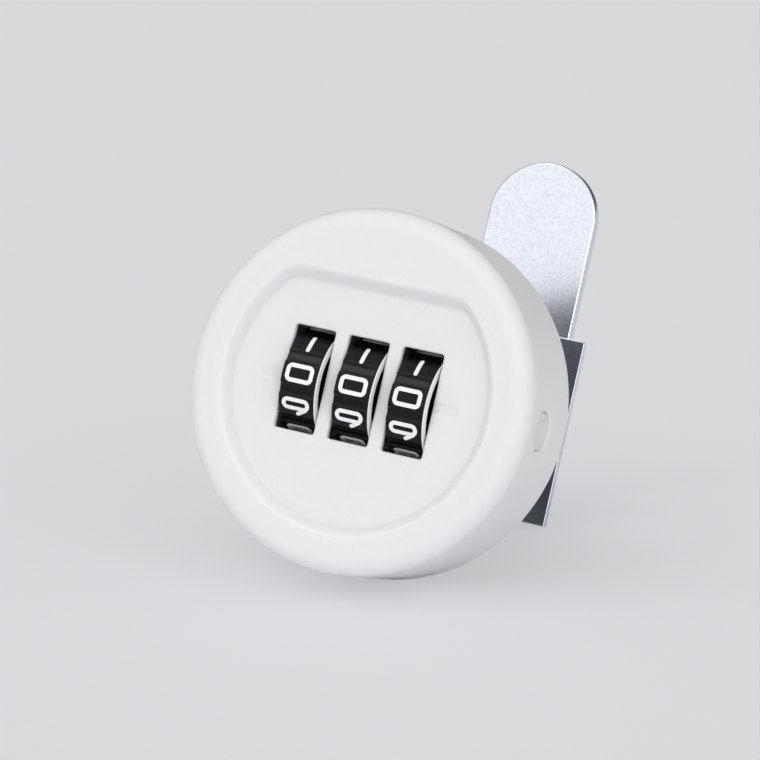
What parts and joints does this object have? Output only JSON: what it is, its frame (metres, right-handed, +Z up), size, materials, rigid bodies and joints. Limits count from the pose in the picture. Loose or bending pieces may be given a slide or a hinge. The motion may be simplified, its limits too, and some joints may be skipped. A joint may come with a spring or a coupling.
{
  "type": "combination locker lock",
  "caption": "Round knob combination lock with number dials in a sunk panel, threaded sleeve, square clamp plate, nut and a flat cam behind the door.",
  "frame": {"origin": "on the lock's axis, at the plane where the mounting flange rests on the door's front face", "axes": "+Y along the lock's axis into the door, -Y is the face with the dials, +Z up with the numbers upright, +X to the right seen from the front"},
  "size_m": [0.048, 0.0624, 0.063],
  "materials": {
    "white_abs": "fine satin moulded texture",
    "black_abs": "smooth moulded",
    "zinc_plated_steel": "bright zinc plate, fine speckle",
    "zinc_plated_casting": "zinc plated die casting",
    "bright_steel": "bright rolled",
    "turned_brass": "turned",
    "phosphor_bronze": "rolled strip"
  },
  "bodies": {
    "mounting": {"mounting_sleeve": "zinc_plated_casting", "clamp_plate": "zinc_plated_steel", "clamp_nut": "zinc_plated_steel"},
    "knob": {"knob_shell": "white_abs", "rear_cover": "bright_steel", "cover_screws": "bright_steel", "spindle": "zinc_plated_casting", "stop_washer": "zinc_plated_steel", "cam": "zinc_plated_steel", "cam_washer": "zinc_plated_steel", "cam_screw": "zinc_plated_steel", "axle_keeper_left": "black_abs", "axle_keeper_right": "black_abs", "detent_spring": "phosphor_bronze", "detent_rivets": "bright_steel", "change_spring": "bright_steel", "fence_spring": "bright_steel"},
    "dial_left": {"dial_left": "black_abs", "dial_left_ring": "white_abs"},
    "dial_middle": {"dial_middle": "black_abs", "dial_middle_ring": "white_abs"},
    "dial_right": {"dial_right": "black_abs", "dial_right_ring": "white_abs"},
    "change_button": {"change_button": "white_abs", "dial_axle": "bright_steel", "code_sleeve_left": "turned_brass", "code_sleeve_middle": "turned_brass", "code_sleeve_right": "turned_brass"},
    "fence": {"fence_bar": "bright_steel", "fence_pin": "bright_steel"}
  },
  "joints": [
    {"name": "knob_turn", "type": "hinge", "parent": "mounting", "child": "knob", "pos_m": [0, 0, 0], "axis": [0, 1, 0], "range_deg": [0, 90]},
    {"name": "dial_left_turn", "type": "hinge", "parent": "knob", "child": "dial_left", "pos_m": [-0.0077, -0.0095, 0], "axis": [1, 0, 0], "continuous": true},
    {"name": "dial_middle_turn", "type": "hinge", "parent": "knob", "child": "dial_middle", "pos_m": [0, -0.0095, 0], "axis": [1, 0, 0], "continuous": true},
    {"name": "dial_right_turn", "type": "hinge", "parent": "knob", "child": "dial_right", "pos_m": [0.0077, -0.0095, 0], "axis": [1, 0, 0], "continuous": true},
    {"name": "change_button_press", "type": "slide", "parent": "knob", "child": "change_button", "axis": [-1, 0, 0], "range_m": [0, 0.0012], "stiffness_N_per_m": 600, "deforming": ["change_spring"]},
    {"name": "fence_slide", "type": "slide", "parent": "knob", "child": "fence", "axis": [0, 1, 0], "range_m": [0, 0.0012], "stiffness_N_per_m": 300, "deforming": ["fence_spring"]}
  ]
}
